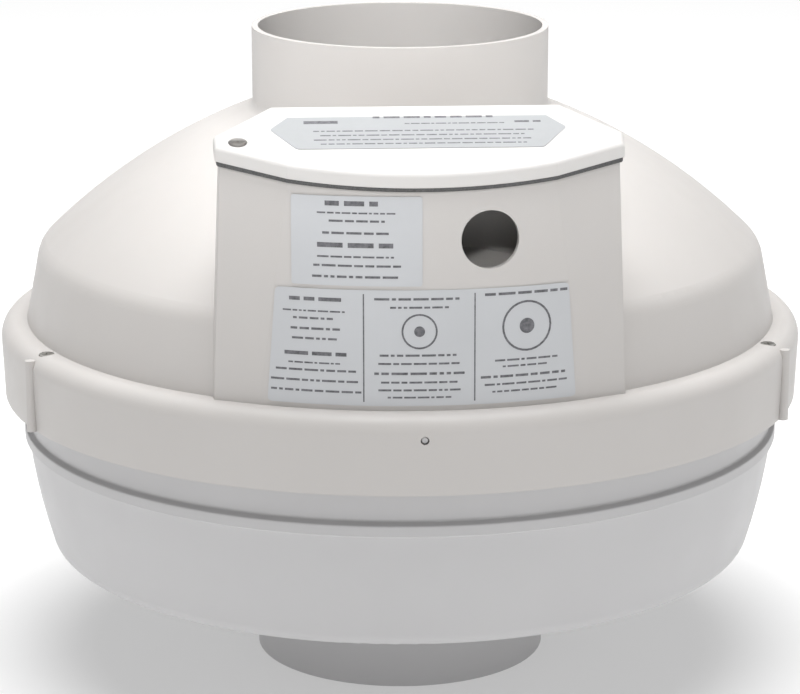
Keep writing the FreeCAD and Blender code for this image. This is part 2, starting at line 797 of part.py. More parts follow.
def make_terminal_block():
    """Three-way connector block; every way has a clamp screw and a wire entry on each side."""
    body = node(new_body("terminal_block"))
    low_x = "block_x - block_long / 2"
    block(body, True, "block_long", "block_wide", "block_high", low_x, "-block_y - block_wide / 2",
          "block_stand_z")
    for side in (-1, 1):
        across = f"block_x + {side} * (block_long / 2 - 3)"
        block(body, False, "6.2", "block_wide + 2", "block_high", f"{across} - 3.1",
              "-block_y - block_wide / 2 - 1", "block_stand_z + 4")
        cylinder(body, False, "small_hole + 0.2", "6", across, "-block_y", "block_stand_z - 1")
    for way in (-1, 0, 1):
        across = f"block_x + {way} * 9"
        cylinder(body, False, "2.4", "6", across, "-block_y", "block_stand_z + block_high - 5")
        cylinder(body, False, "2", "block_wide + 2", across, "-block_y - block_wide / 2 - 1",
                 "block_stand_z + 5", "180")
    return body


def make_box_screws():
    """Small screws of the clips and the terminal block, and the clamp screws in the block."""
    places = box_screw_places()
    clips = [place[:2] for place in places if "capacitor" in place[2]]
    screws("clip_screws", clips, "small_shank", "2.3", "capacitor_stand_z + clip_wall", "7", "1.8")
    fixings = [place[:2] for place in places if "block" in place[2]]
    screws("terminal_block_screws", fixings, "small_shank", "2.6", "block_stand_z + 4", "10", "1.8")
    ways = [(f"block_x + {way} * 9", "-block_y") for way in (-1, 0, 1)]
    screws("clamp_screws", ways, "1.3", "2.2", "block_stand_z + block_high - 2.6", "2", "1.6")
    screws("earth_screw", [places[-1][:2]], "small_shank", "3.6", "earth_stand_z + 1", "8", "2.4")


def make_earth_washer():
    body = ring("earth_washer", "small_hole + 0.2", "5", "0", "1")
    bind(body, Placement__Base__x="earth_x", Placement__Base__y="-earth_y",
         Placement__Base__z="earth_stand_z")


def make_grommet():
    """Rubber grommet round the motor cable, in the sleeve that leads into the terminal box."""
    body = node(new_body("cable_grommet"))
    revolve(body, ("cable_rad + 0.05", "-12"), ("cable_rad + 0.05", "2.5", None, "0.8"),
            ("pedestal_rad", "2.5", None, "0.8"), ("pedestal_rad", "0"), ("cable_rad + 2.15", "0"),
            ("cable_rad + 2.15", "-12"))
    bind(body, Placement__Base__y="-pedestal_y", Placement__Base__z="pedestal_z")


# ---------------------------------------------------------------- wires
def tube(label, radius, points):
    """A round wire through points, with tangent arcs at its turns."""
    corners = [Vector(*[value(text) for text in point]) for point in points]
    edges = []
    start = corners[0]
    for before, corner, after in zip(corners, corners[1:], corners[2:]):
        into = (corner - before).normalize()
        out = (after - corner).normalize()
        turn = math.acos(into.dot(out))
        setback = 0.45 * min(corner.distanceToPoint(before), corner.distanceToPoint(after))
        first = corner - into * setback
        last = corner + out * setback
        bisector = (out - into).normalize()
        bend = setback / math.tan(turn / 2)
        middle = corner + bisector * (math.hypot(bend, setback) - bend)
        edges.append(Part.LineSegment(start, first).toShape())
        edges.append(Part.Arc(first, middle, last).toShape())
        start = last
    edges.append(Part.LineSegment(start, corners[-1]).toShape())
    path = Part.Wire(edges)
    circle = Part.Circle(corners[0], corners[1] - corners[0], value(radius))
    item = doc.addObject("Part::Feature", label)
    item.Shape = path.makePipeShell([Part.Wire(circle.toShape())], True, False)
    print(f"{label}: {item.Shape.Volume / (math.pi * value(radius) ** 2 * path.Length):.4f} of a full tube")
    return node(item, label)


def make_motor_cable():
    """Motor cable: up out of the motor, outwards between two vanes and up into the terminal box."""
    tube("motor_cable", "cable_rad", [
        ("0", "-cable_exit_y", "base_z + base_thick"),
        ("0", "-cable_exit_y", "cable_level_z"),
        ("0", "-pedestal_y", "cable_level_z"),
        ("0", "-pedestal_y", "cable_end_z"),
    ])


def make_leads():
    """Wires from the end of the motor cable and from the capacitor to their terminals."""
    entry_y = "-block_y - block_wide / 2 + 2"
    entry_z = "block_stand_z + 5"
    start_y = "-pedestal_y + 0.9"
    for label, start_x, way, rise in (("live_lead", 1.5, 0, 7), ("neutral_lead", -1.5, 1, 13)):
        end_x = f"block_x + {way} * 9"
        tube(label, "0.9", [
            (f"{start_x}", start_y, "cable_end_z"),
            (f"{start_x}", start_y, f"cable_end_z + {rise}"),
            (f"({end_x} + {start_x}) / 2", "-pedestal_y - 3", f"cable_end_z + {rise} + 2"),
            (end_x, "-pedestal_y - 4", f"cable_end_z + {7 + 2 * way}"),
            (end_x, "-pedestal_y + 2", entry_z),
            (end_x, entry_y, entry_z),
        ])
    tube("earth_lead", "0.9", [
        ("0", "-pedestal_y - 1.7", "cable_end_z"),
        ("0", "-pedestal_y - 1.7", "cable_end_z + 5"),
        ("16", "-pedestal_y - 13", "cable_end_z + 9"),
        ("40", "-pedestal_y - 11", "cable_end_z + 4"),
        ("earth_x - 6", "-earth_y - 8", "cable_end_z - 3"),
        ("earth_x", "-earth_y - 9", "cable_end_z - 7.6"),
        ("earth_x", "-earth_y - 3.7", "cable_end_z - 7.8"),
    ])
    tab_x = "capacitor_x + capacitor_long / 2 + 6.5"
    tab_y = "-capacitor_y + 5"
    tab_z = "capacitor_stand_z + capacitor_rad"
    tube("capacitor_lead", "0.9", [
        (tab_x, tab_y, tab_z),
        (f"{tab_x} + 4", tab_y, tab_z),
        (f"{tab_x} + 8", f"{tab_y} - 2", f"{tab_z} + 6"),
        ("block_x - 15", "-block_y - 11", f"{tab_z} + 6"),
        ("block_x - 9", "-block_y - 12", f"{tab_z} + 2"),
        ("block_x - 9", entry_y, entry_z),
    ])


# ---------------------------------------------------------------- labels
def make_rating_label():
    """Six-sided label on the lid."""
    body = node(new_body("rating_label"))
    rows = [("47.5", "14.6"), ("56.5", "1.6"), ("46.5", "-14.6")]
    outline = rows + [("-" + across, up) for across, up in reversed(rows)]
    pad(body, new_sketch(body, "XY_Plane", [outline]), "label_thick")
    body.Placement.Rotation = FreeCAD.Rotation(Vector(1, 0, 0), value("lid_slope"))
    bind(body, Placement__Base__y="-rating_y", Placement__Base__z=lid_level("rating_y", "-0.02"))


def box_front(level):
    """Radius of the box's front at a height."""
    return f"(box_foot_arc - (box_foot_arc - box_top_arc) * ({level} - flange_z) / (box_top_z - flange_z))"


def front_label(label, low, high, right, left):
    """A label wrapped on the box's front between two angles from its middle."""
    body = node(new_body(label))
    feature = body.newObject("PartDesign::Revolution", body.Name + "_turned")
    corners = [(box_front(low) + " + 0.05", low), (box_front(high) + " + 0.05", high),
               (box_front(high) + " + 0.05 + label_thick", high),
               (box_front(low) + " + 0.05 + label_thick", low)]
    feature.Profile = new_sketch(body, "XZ_Plane", [corners])
    feature.ReferenceAxis = (feature.Profile[0], ["V_Axis"])
    feature.Midplane = True
    feature.Angle = right - left
    settle(body, feature)
    body.Placement.Rotation = FreeCAD.Rotation(Vector(0, 0, 1), -90 + (right + left) / 2)


# ---------------------------------------------------------------- seals, inlet and motor bracket
def make_seal_and_screws():
    ring("casing_gasket", "gasket_in", "gasket_out", "lower_rim_z", "flange_z - flange_thick")
    screws("casing_screws", rib_places("casing_screw_circle"), "small_shank", "casing_head_rad",
           "flange_z - 1.6", "17", "1.4")
    inlets = screw_points("inlet_screw_circle", 4, 45)
    screws("inlet_ring_screws", inlets, "small_shank", "2.8", "inlet_seat_z + inlet_wall", "5.5", "1.8")
    brackets = screw_points("bracket_screw_circle", 4, 45)
    screws("bracket_screws", brackets, "small_shank", "2.8", "bracket_ring_z + 4", "18", "2", up=False)
    motors = screw_points("motor_screw_circle", 4, 45)
    screws("motor_screws", motors, "small_shank", "3", "bracket_hub_z + bracket_hub_thick", "8.5", "2")


def make_inlet_ring():
    """Bell mouth that leads the air from the spigot into the impeller's eye."""
    body = node(new_body("inlet_ring"))
    top = "inlet_seat_z + inlet_wall"
    revolve(body, ("inlet_flange_rad", "inlet_seat_z"), ("inlet_throat + 4.6", "inlet_seat_z"),
            ("inlet_throat", "inlet_lip_z"), ("inlet_throat + inlet_wall", "inlet_lip_z"),
            ("inlet_throat + 6.9", top), ("inlet_flange_rad", top))
    for across, depth in screw_points("inlet_screw_circle", 4, 45):
        cylinder(body, False, "small_hole + 0.2", "6", across, depth, "inlet_seat_z - 2")


def make_motor_bracket():
    """Guide-vane bracket: a hub for the motor, curved vanes, and a ring with four lugs."""
    body = node(new_body("motor_bracket"))
    hub_top = "bracket_hub_z + bracket_hub_thick"
    revolve(body, ("0.01", "bracket_hub_z"), ("0.01", hub_top), ("bracket_hub_rad", hub_top, None, "2"),
            ("bracket_hub_rad", "bracket_ring_z + 1"), ("bracket_hub_rad - 3", "bracket_ring_z + 1"),
            ("bracket_hub_rad - 3", "bracket_hub_z"))
    ring_out = "bracket_ring_in + bracket_ring_wall"
    revolve(body, ("bracket_ring_in", "bracket_ring_z"), ("bracket_ring_in", "bracket_ring_top_z"),
            (ring_out, "bracket_ring_top_z"), (ring_out, "bracket_ring_z"))
    inner = "bracket_hub_rad - 1"
    outer = "bracket_ring_in + 1"
    side = [(inner, "bracket_ring_z + 1"), (inner, hub_top), ("bracket_hub_rad + 12", "vane_top_z"),
            ("bracket_hub_rad + 30", "vane_top_z"), (outer, "bracket_ring_top_z"),
            (outer, "bracket_ring_z + 1")]
    vane = pad(body, new_sketch(body, "XZ_Plane", [side]), "vane_wall", midplane=True)
    polar(body, [vane], "vane_count")
    lugs = screw_points("bracket_screw_circle", 4, 45)
    for across, depth in lugs:
        cylinder(body, True, "5.5", "4", across, depth, "bracket_ring_z + 4")
    for across, depth in lugs:
        cylinder(body, False, "small_hole + 0.2", "6", across, depth, "bracket_ring_z + 3")
    for across, depth in screw_points("motor_screw_circle", 4, 45):
        cylinder(body, False, "small_hole + 0.2", "6", across, depth, "bracket_hub_z - 1")
    cylinder(body, False, "cable_rad + 0.2", "6", "0", "-cable_exit_y", "bracket_hub_z - 1")


def make_hub_cap():
    """Smooth cap over the motor screws, in the outgoing air."""
    body = node(new_body("hub_cap"))
    low = "bracket_hub_z + bracket_hub_thick"
    revolve(body, ("cap_rad", low), ("cap_rad", "cap_top_z", None, "12"), ("0.01", "cap_top_z"),
            ("0.01", "cap_top_z - 2"), ("cap_rad - 2", "cap_top_z - 2", None, "10"), ("cap_rad - 2", low))


# ---------------------------------------------------------------- motor
def make_stator():
    body = node(new_body("motor_base"))
    top = "base_z + base_thick"
    revolve(body, ("tube_rad", "tube_z"), ("tube_bore", "tube_z"), ("tube_bore", "base_z + 1"),
            ("0.01", "base_z + 1"), ("0.01", top), ("base_rad", top), ("base_rad", "base_z"),
            ("tube_rad", "base_z"))
    for across, depth in screw_points("motor_screw_circle", 4, 45):
        cylinder(body, False, "small_hole", "8", across, depth, "base_z - 1")

    core = node(new_body("stator_core"))
    revolve(core, ("tube_rad", "core_z"), ("tube_rad", "core_top_z"), ("core_rad", "core_top_z"),
            ("core_rad", "core_z"))
    high = "core_top_z - core_z + 2"
    slot = [block(core, False, "15", "5.4", high, "20", "-2.7", "core_z - 1"),
            block(core, False, "8", "1.6", high, "34", "-0.8", "core_z - 1")]
    polar(core, slot, "slot_count")

    coils = node(new_body("stator_windings"))
    for low, tall in (("core_z - coil_low_high - 0.2", "coil_low_high"),
                      ("core_top_z + 0.2", "coil_top_high")):
        high = f"{low} + {tall}"
        revolve(coils, ("coil_in", low, None, "2"), ("coil_in", high, None, "2"),
                ("coil_out", high, None, "2"), ("coil_out", low, None, "2"))
    bar = block(coils, True, "13.6", "4.8", "core_top_z - core_z + 3", "20.7", "-2.4", "core_z - 1.5")
    polar(coils, [bar], "slot_count")


def make_bearings():
    for name, low in (("lower", "bearing_low_z"), ("upper", "bearing_high_z")):
        high = f"{low} + bearing_wide"
        rounded_ring(f"{name}_bearing_outer_ring", "bearing_outer_in", "tube_bore", low, high, "0.4")
        rounded_ring(f"{name}_bearing_inner_ring", "shaft_rad", "bearing_inner_out", low, high, "0.4")
    balls = node(new_body("bearing_balls"))
    for low in ("bearing_low_z", "bearing_high_z"):
        ball = balls.newObject("PartDesign::AdditiveSphere", "ball")
        bind(ball, Radius="ball_rad", Placement__Base__x="ball_circle",
             Placement__Base__z=f"{low} + bearing_wide / 2")
        settle(balls, ball)
        polar(balls, [ball], "ball_count")
    ring("preload_washer", "bearing_outer_in + 0.4", "tube_bore - 0.2", "bearing_high_z + bearing_wide",
         "base_z + 1")


def make_rotor():
    body = node(new_body("rotor_can"))
    inner = "can_rad - can_wall"
    flange = "wheel_back_z + wheel_back_thick"
    revolve(body, ("shaft_rad", "can_floor_z"), ("shaft_rad", "can_floor_z + can_hub"),
            ("shaft_rad + 5", "can_floor_z + can_hub"), ("shaft_rad + 5", "can_floor_z + can_wall"),
            (inner, "can_floor_z + can_wall", None, "3"),
            (inner, "can_top_z"), ("can_rad", "can_top_z"), ("can_rad", f"{flange} + 1.6"),
            ("can_flange_rad", f"{flange} + 1.6"), ("can_flange_rad", flange), ("can_rad", flange),
            ("can_rad", "can_floor_z", None, "4"))
    for across, depth in screw_points("can_screw_circle", 6, 0):
        cylinder(body, False, "small_hole + 0.2", "4", across, depth, f"{flange} - 1")
    ring("rotor_ring", "ring_in", inner, "ring_z", "ring_top_z")

    shaft = node(new_body("shaft"))
    revolve(shaft, ("0.01", "can_floor_z"), ("0.01", "shaft_top_z"),
            ("shaft_rad", "shaft_top_z", None, "0.5"), ("shaft_rad", "can_floor_z"))
    ring("shaft_spacer", "shaft_rad", "bearing_inner_out - 0.2", "can_floor_z + can_hub", "bearing_low_z")
    clip = ring("retaining_ring", "shaft_rad", "5.8", "bearing_high_z + bearing_wide",
                "bearing_high_z + bearing_wide + 0.9")
    block(clip, False, "6", "3", "3", "2", "-1.5", "bearing_high_z + bearing_wide - 1")


# ---------------------------------------------------------------- impeller
def shroud_line(drop):
    """The shroud's surface in profile, from the eye to the rim, moved out by a thickness."""
    return [(f"wheel_eye_rad + {drop}", "wheel_eye_z"),
            (f"wheel_eye_rad + {drop}", f"shroud_knee_z - 0.7 * {drop}", None, f"shroud_round - {drop}"),
            ("wheel_rad", f"wheel_rim_z - 1.06 * {drop}")]


def make_impeller():
    """Back plate and backward-curved blades in one moulding."""
    body = node(new_body("impeller"))
    back = "wheel_back_z + wheel_back_thick"
    root = [polar_point("blade_in_rad", 0, -1), polar_point("wheel_rad", "blade_sweep", -1),
            polar_point("wheel_rad", "blade_sweep", 1), polar_point("blade_in_rad", 0, 1)]
    blade = [(*root[0], "-blade_arc"), root[1], (*root[2], "blade_arc - blade_wall"), root[3]]
    sketch = new_sketch(body, "XY_Plane", [blade], level="wheel_eye_z")
    first = pad(body, sketch, "wheel_back_z - wheel_eye_z + 1")
    line = shroud_line("0")
    first = groove(body, ("wheel_eye_rad", "wheel_eye_z - 3"), line[1],
                   ("wheel_rad + 6", "wheel_rim_z + 2.1"), ("wheel_rad + 6", "wheel_eye_z - 3"))
    polar(body, [first.BaseFeature, first], "blade_count")
    revolve(body, ("can_rad + 0.05", "wheel_back_z"), ("can_rad + 0.05", back), ("wheel_rad", back),
            ("wheel_rad", "wheel_back_z"))
    for across, depth in screw_points("can_screw_circle", 6, 0):
        cylinder(body, False, "small_hole", "4", across, depth, "wheel_back_z - 1")

    shroud = node(new_body("impeller_shroud"))
    revolve(shroud, *shroud_line("0"), *reversed(shroud_line("shroud_wall")))
    screws("impeller_screws", screw_points("can_screw_circle", 6, 0), "small_shank", "2.6",
           f"{back} + 1.6", "4", "1.6")
    weights = node(new_body("balance_weights"))
    for angle in (70, 205):
        cylinder(weights, True, "3.5", "2.4", f"101 * cos({angle})", f"101 * sin({angle})", back)


def polar_point(radius, angle, side):
    """A blade corner: half a blade's thickness to one side of a point at a radius and an angle."""
    turned = f"({angle} + {side} * blade_wall / {radius} * 0.8 * 180 / pi)"
    return (f"{radius} * cos{turned}", f"{radius} * sin{turned}")


def make_fan():
    """Every piece of the fan."""
    make_upper_casing()
    make_lower_casing()
    make_seal_and_screws()
    make_inlet_ring()
    make_lid()
    make_lid_gasket()
    make_lid_screw()
    make_capacitor()
    make_capacitor_clips()
    make_terminal_block()
    make_box_screws()
    make_earth_washer()
    make_grommet()
    make_motor_cable()
    make_leads()
    make_rating_label()
    front_label("caution_label", "caution_low_z", "caution_high_z", 0.0, -18.0)
    front_label("danger_label", "danger_low_z", "danger_high_z", 20.3, -20.3)
    make_motor_bracket()
    make_hub_cap()
    make_stator()
    make_bearings()
    make_rotor()
    make_impeller()


def write_parts():
    """Check every object and every piece, then write each piece to its own file."""
    doc.recompute()
    for item in doc.Objects:
        if "Invalid" in item.State or "Error" in item.State:
            raise RuntimeError(f"{item.Label}: {item.State}")
    for item in NODES:
        if item.Shape.isNull() or not item.Shape.isValid():
            raise RuntimeError(f"{item.Label}: bad shape")
    os.makedirs("parts", exist_ok=True)
    for item in NODES:
        item.Shape.exportStep(f"parts/{item.Label}.step")
    print(len(NODES), "pieces")


make_fan()
write_parts()
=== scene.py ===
"""Looks of the inline duct fan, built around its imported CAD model.  Metres, +Z up."""

import json
import math

import bmesh
import bpy
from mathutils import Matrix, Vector
from mathutils.geometry import convex_hull_2d


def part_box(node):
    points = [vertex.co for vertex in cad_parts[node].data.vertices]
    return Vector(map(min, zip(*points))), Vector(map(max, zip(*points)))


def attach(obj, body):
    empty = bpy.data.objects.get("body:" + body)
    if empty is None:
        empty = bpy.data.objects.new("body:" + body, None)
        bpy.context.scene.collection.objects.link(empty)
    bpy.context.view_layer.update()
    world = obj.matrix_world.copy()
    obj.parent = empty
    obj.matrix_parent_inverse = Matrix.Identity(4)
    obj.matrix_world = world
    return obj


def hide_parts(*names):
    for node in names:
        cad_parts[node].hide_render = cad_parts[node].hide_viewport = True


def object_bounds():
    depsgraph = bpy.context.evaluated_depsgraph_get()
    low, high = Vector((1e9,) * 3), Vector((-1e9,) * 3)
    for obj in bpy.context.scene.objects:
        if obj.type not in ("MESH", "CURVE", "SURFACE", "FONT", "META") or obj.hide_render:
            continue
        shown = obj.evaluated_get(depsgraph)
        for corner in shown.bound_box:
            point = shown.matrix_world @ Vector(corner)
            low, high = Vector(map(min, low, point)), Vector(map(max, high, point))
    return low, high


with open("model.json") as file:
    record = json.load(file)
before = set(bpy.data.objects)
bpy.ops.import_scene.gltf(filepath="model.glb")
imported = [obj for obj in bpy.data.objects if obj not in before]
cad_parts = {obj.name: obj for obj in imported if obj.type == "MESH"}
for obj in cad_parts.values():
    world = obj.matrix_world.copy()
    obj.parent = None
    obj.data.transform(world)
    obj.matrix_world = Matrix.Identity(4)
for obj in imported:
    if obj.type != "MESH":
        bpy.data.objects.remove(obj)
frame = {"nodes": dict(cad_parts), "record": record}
CAD_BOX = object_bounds()

MM = 0.001
NODES = frame["nodes"]
NOISE_LOW, NOISE_HIGH = 0.3, 0.7     # the range that most of a noise texture falls in


# ---------------------------------------------------------------- shader building blocks
def new_material(name, color, roughness, metallic=0.0):
    """A material with its Principled shader; gives the material, its nodes, links and shader."""
    material = bpy.data.materials.new(name)
    material.use_nodes = True
    nodes, links = material.node_tree.nodes, material.node_tree.links
    shader = nodes["Principled BSDF"]
    shader.inputs["Base Color"].default_value = (*color, 1.0)
    shader.inputs["Roughness"].default_value = roughness
    shader.inputs["Metallic"].default_value = metallic
    return material, nodes, links, shader


def coordinates(nodes, links, scale=(1, 1, 1)):
    """Object coordinates, stretched along each axis."""
    source = nodes.new("ShaderNodeTexCoord")
    mapping = nodes.new("ShaderNodeMapping")
    mapping.inputs["Scale"].default_value = scale
    links.new(source.outputs["Object"], mapping.inputs["Vector"])
    return mapping.outputs["Vector"]


def noise(nodes, links, vector, scale, detail=3.0, roughness=0.5):
    texture = nodes.new("ShaderNodeTexNoise")
    texture.inputs["Scale"].default_value = scale
    texture.inputs["Detail"].default_value = detail
    texture.inputs["Roughness"].default_value = roughness
    links.new(vector, texture.inputs["Vector"])
    return texture.outputs["Fac"]


def ramp(nodes, links, factor, low, high):
    """A colour that runs from low to high with a noise factor."""
    item = nodes.new("ShaderNodeValToRGB")
    item.color_ramp.elements[0].position = NOISE_LOW
    item.color_ramp.elements[0].color = (*low, 1.0)
    item.color_ramp.elements[1].position = NOISE_HIGH
    item.color_ramp.elements[1].color = (*high, 1.0)
    links.new(factor, item.inputs["Fac"])
    return item.outputs["Color"]


def spread(nodes, links, factor, low, high):
    """The factor mapped to a range of values."""
    item = nodes.new("ShaderNodeMapRange")
    item.inputs["From Min"].default_value = NOISE_LOW
    item.inputs["From Max"].default_value = NOISE_HIGH
    item.inputs["To Min"].default_value = low
    item.inputs["To Max"].default_value = high
    links.new(factor, item.inputs["Value"])
    return item.outputs["Result"]


def bump(nodes, links, shader, height, strength, distance, under=None):
    item = nodes.new("ShaderNodeBump")
    item.inputs["Strength"].default_value = strength
    item.inputs["Distance"].default_value = distance
    links.new(height, item.inputs["Height"])
    if under is not None:
        links.new(under, item.inputs["Normal"])
    links.new(item.outputs["Normal"], shader.inputs["Normal"])
    return item.outputs["Normal"]


def soft_edges(nodes, radius):
    """Normals that round every hard edge by a small radius, as moulding does."""
    item = nodes.new("ShaderNodeBevel")
    item.samples = 4
    item.inputs["Radius"].default_value = radius
    return item.outputs["Normal"]


def tint(color, factor):
    return tuple(min(1.0, channel * factor) for channel in color)


# ---------------------------------------------------------------- materials
def moulded(name, color, roughness=0.46, grain=900.0, mottle=0.02, edge=0.4 * MM):
    """Injection-moulded plastic: fine spark-eroded grain, faint flow clouding, softened edges."""
    material, nodes, links, shader = new_material(name, color, roughness)
    vector = coordinates(nodes, links)
    cloud = noise(nodes, links, vector, 9.0, detail=4.0)
    shade = ramp(nodes, links, cloud, tint(color, 1 - mottle), tint(color, 1 + mottle))
    links.new(shade, shader.inputs["Base Color"])
    patches = noise(nodes, links, vector, 60.0)
    worn = spread(nodes, links, patches, roughness - 0.05, roughness + 0.06)
    links.new(worn, shader.inputs["Roughness"])
    fine = noise(nodes, links, vector, grain, detail=2.0)
    under = soft_edges(nodes, edge) if edge else None
    waves = noise(nodes, links, vector, 28.0, detail=1.0)
    ripple = bump(nodes, links, shader, waves, 0.25, 0.05 * MM, under)
    bump(nodes, links, shader, fine, 0.5, 0.02 * MM, ripple)
    shader.inputs["IOR"].default_value = 1.5
    shader.inputs["Subsurface Weight"].default_value = 0.04
    shader.inputs["Subsurface Radius"].default_value = (3 * MM, 2.4 * MM, 2 * MM)
    return material


def sheet_metal(name, color, roughness=0.34, stretch=(1, 1, 30), depth=0.01 * MM):
    """Rolled or turned metal with fine drawn lines and cloudy plating."""
    material, nodes, links, shader = new_material(name, color, roughness, metallic=1.0)
    vector = coordinates(nodes, links, stretch)
    lines = noise(nodes, links, vector, 350.0, detail=3.0)
    cloud = noise(nodes, links, coordinates(nodes, links), 45.0, detail=5.0)
    links.new(ramp(nodes, links, cloud, tint(color, 0.82), tint(color, 1.12)),
              shader.inputs["Base Color"])
    links.new(spread(nodes, links, lines, roughness - 0.08, roughness + 0.12),
              shader.inputs["Roughness"])
    bump(nodes, links, shader, lines, 0.4, depth)
    return material


def cast_metal(name, color):
    """Die-cast aluminium: dull, slightly pitted."""
    material, nodes, links, shader = new_material(name, color, 0.5, metallic=1.0)
    vector = coordinates(nodes, links)
    pits = noise(nodes, links, vector, 650.0, detail=5.0, roughness=0.7)
    cloud = noise(nodes, links, vector, 30.0)
    links.new(ramp(nodes, links, cloud, tint(color, 0.85), tint(color, 1.05)),
              shader.inputs["Base Color"])
    links.new(spread(nodes, links, pits, 0.42, 0.6), shader.inputs["Roughness"])
    bump(nodes, links, shader, pits, 0.5, 0.05 * MM)
    return material


def rubber(name, color, bubbles=500.0):
    """Rubber or foam with a matt, faintly porous skin."""
    material, nodes, links, shader = new_material(name, color, 0.8)
    vector = coordinates(nodes, links)
    pores = noise(nodes, links, vector, bubbles, detail=4.0)
    links.new(ramp(nodes, links, pores, tint(color, 0.75), tint(color, 1.3)),
              shader.inputs["Base Color"])
    bump(nodes, links, shader, pores, 0.6, 0.06 * MM)
    return material


def stacked_sheets(name, color):
    """Punched laminations: thin bright lines between dark sheets, level all round."""
    material, nodes, links, shader = new_material(name, color, 0.45, metallic=0.9)
    vector = coordinates(nodes, links)
    wave = nodes.new("ShaderNodeTexWave")
    wave.bands_direction = "Z"
    wave.inputs["Scale"].default_value = 320.0
    wave.inputs["Distortion"].default_value = 0.3
    links.new(vector, wave.inputs["Vector"])
    links.new(ramp(nodes, links, wave.outputs["Fac"], tint(color, 0.6), tint(color, 1.6)),
              shader.inputs["Base Color"])
    bump(nodes, links, shader, wave.outputs["Fac"], 0.6, 0.08 * MM)
    return material


def wound_wire(name, color):
    """Varnished copper wire laid in turns round the axis."""
    material, nodes, links, shader = new_material(name, color, 0.3, metallic=0.85)
    vector = coordinates(nodes, links)
    wave = nodes.new("ShaderNodeTexWave")
    wave.wave_type = "RINGS"
    wave.rings_direction = "Z"
    wave.inputs["Scale"].default_value = 420.0
    wave.inputs["Distortion"].default_value = 1.2
    wave.inputs["Detail"].default_value = 2.0
    links.new(vector, wave.inputs["Vector"])
    links.new(ramp(nodes, links, wave.outputs["Fac"], tint(color, 0.45), tint(color, 1.25)),
              shader.inputs["Base Color"])
    bump(nodes, links, shader, wave.outputs["Fac"], 0.8, 0.2 * MM)
    return material


def label_film(name, color):
    """Printed vinyl film: faint fibre in the tone and a soft sheen."""
    material, nodes, links, shader = new_material(name, color, 0.42)
    vector = coordinates(nodes, links)
    cloud = noise(nodes, links, vector, 22.0, detail=3.0)
    links.new(ramp(nodes, links, cloud, tint(color, 0.97), tint(color, 1.03)),
              shader.inputs["Base Color"])
    sheen = spread(nodes, links, noise(nodes, links, vector, 240.0), 0.5, 0.64)
    links.new(sheen, shader.inputs["Roughness"])
    bump(nodes, links, shader, noise(nodes, links, vector, 90.0, detail=2.0), 0.3, 0.03 * MM)
    return material


def print_ink(name, color):
    """Thermal print: dark, with slight gaps in its density."""
    material, nodes, links, shader = new_material(name, color, 0.5)
    vector = coordinates(nodes, links)
    worn = noise(nodes, links, vector, 700.0, detail=4.0)
    links.new(ramp(nodes, links, worn, tint(color, 0.7), tint(color, 1.6)),
              shader.inputs["Base Color"])
    return material


OFF_WHITE = (0.59, 0.568, 0.55)
LID_WHITE = (0.66, 0.645, 0.63)
# painted shade: the lower casing gets the casing's off-white made cooler and greyer, for the shade
# it stands in below the flange
LOWER_WHITE_PAINTED_SHADE = (0.58, 0.575, 0.58)
LABEL_GREY = (0.575, 0.587, 0.605)
LID_FILM_GREY = (0.38, 0.39, 0.40)
INK = (0.12, 0.12, 0.13)

MATERIALS = {
    "upper_plastic": moulded("upper_plastic", OFF_WHITE),
    "lid_plastic": moulded("lid_plastic", LID_WHITE, roughness=0.5),
    # the lower casing's colour holds painted shade
    "lower_plastic": moulded("lower_plastic", LOWER_WHITE_PAINTED_SHADE),
    "label_film": label_film("label_film", LABEL_GREY),
    "lid_film": label_film("lid_film", LID_FILM_GREY),
    "grey_foam": rubber("grey_foam", (0.10, 0.10, 0.10), bubbles=1500.0),
    "black_rubber": rubber("black_rubber", (0.03, 0.03, 0.03)),
    "zinc_steel": sheet_metal("zinc_steel", (0.62, 0.61, 0.58)),
    "lid_screw_steel": sheet_metal("lid_screw_steel", (0.42, 0.40, 0.38), roughness=0.4),
    "brass_plated": sheet_metal("brass_plated", (0.78, 0.60, 0.30)),
    "green_screw": sheet_metal("green_screw", (0.06, 0.30, 0.12), roughness=0.3),
    "galvanised": sheet_metal("galvanised", (0.60, 0.62, 0.64), roughness=0.4, stretch=(1, 1, 1),
                              depth=0.02 * MM),
    "grey_plastic": moulded("grey_plastic", (0.16, 0.16, 0.17), roughness=0.5, mottle=0.08),
    "black_plastic": moulded("black_plastic", (0.035, 0.035, 0.038), roughness=0.5,
                             mottle=0.12),
    "capacitor_case": moulded("capacitor_case", (0.62, 0.62, 0.58), roughness=0.3, edge=0.0),
    "block_plastic": moulded("block_plastic", (0.62, 0.60, 0.54), roughness=0.45),
    "cable_sheath": rubber("cable_sheath", (0.22, 0.22, 0.22), bubbles=300.0),
    "brown_wire": moulded("brown_wire", (0.16, 0.06, 0.03), roughness=0.35, edge=0.0),
    "blue_wire": moulded("blue_wire", (0.03, 0.09, 0.36), roughness=0.35, edge=0.0),
    "green_wire": moulded("green_wire", (0.10, 0.36, 0.07), roughness=0.35, edge=0.0),
    "cast_aluminium": cast_metal("cast_aluminium", (0.70, 0.70, 0.71)),
    "lamination": stacked_sheets("lamination", (0.25, 0.24, 0.23)),
    "copper_wire": wound_wire("copper_wire", (0.72, 0.33, 0.14)),
    "bearing_steel": sheet_metal("bearing_steel", (0.72, 0.72, 0.72), roughness=0.16),
    "can_steel": moulded("can_steel", (0.06, 0.06, 0.065), roughness=0.42, grain=500.0, mottle=0.15),
}
INK_MATERIAL = print_ink("print_ink", INK)


def dress_nodes():
    """Give every CAD node the finish of its material slot."""
    for row in frame["record"]["subparts"]:
        slots = NODES[row["node"]].material_slots
        for slot in slots:
            slot.material = MATERIALS[row["material_slot"]]


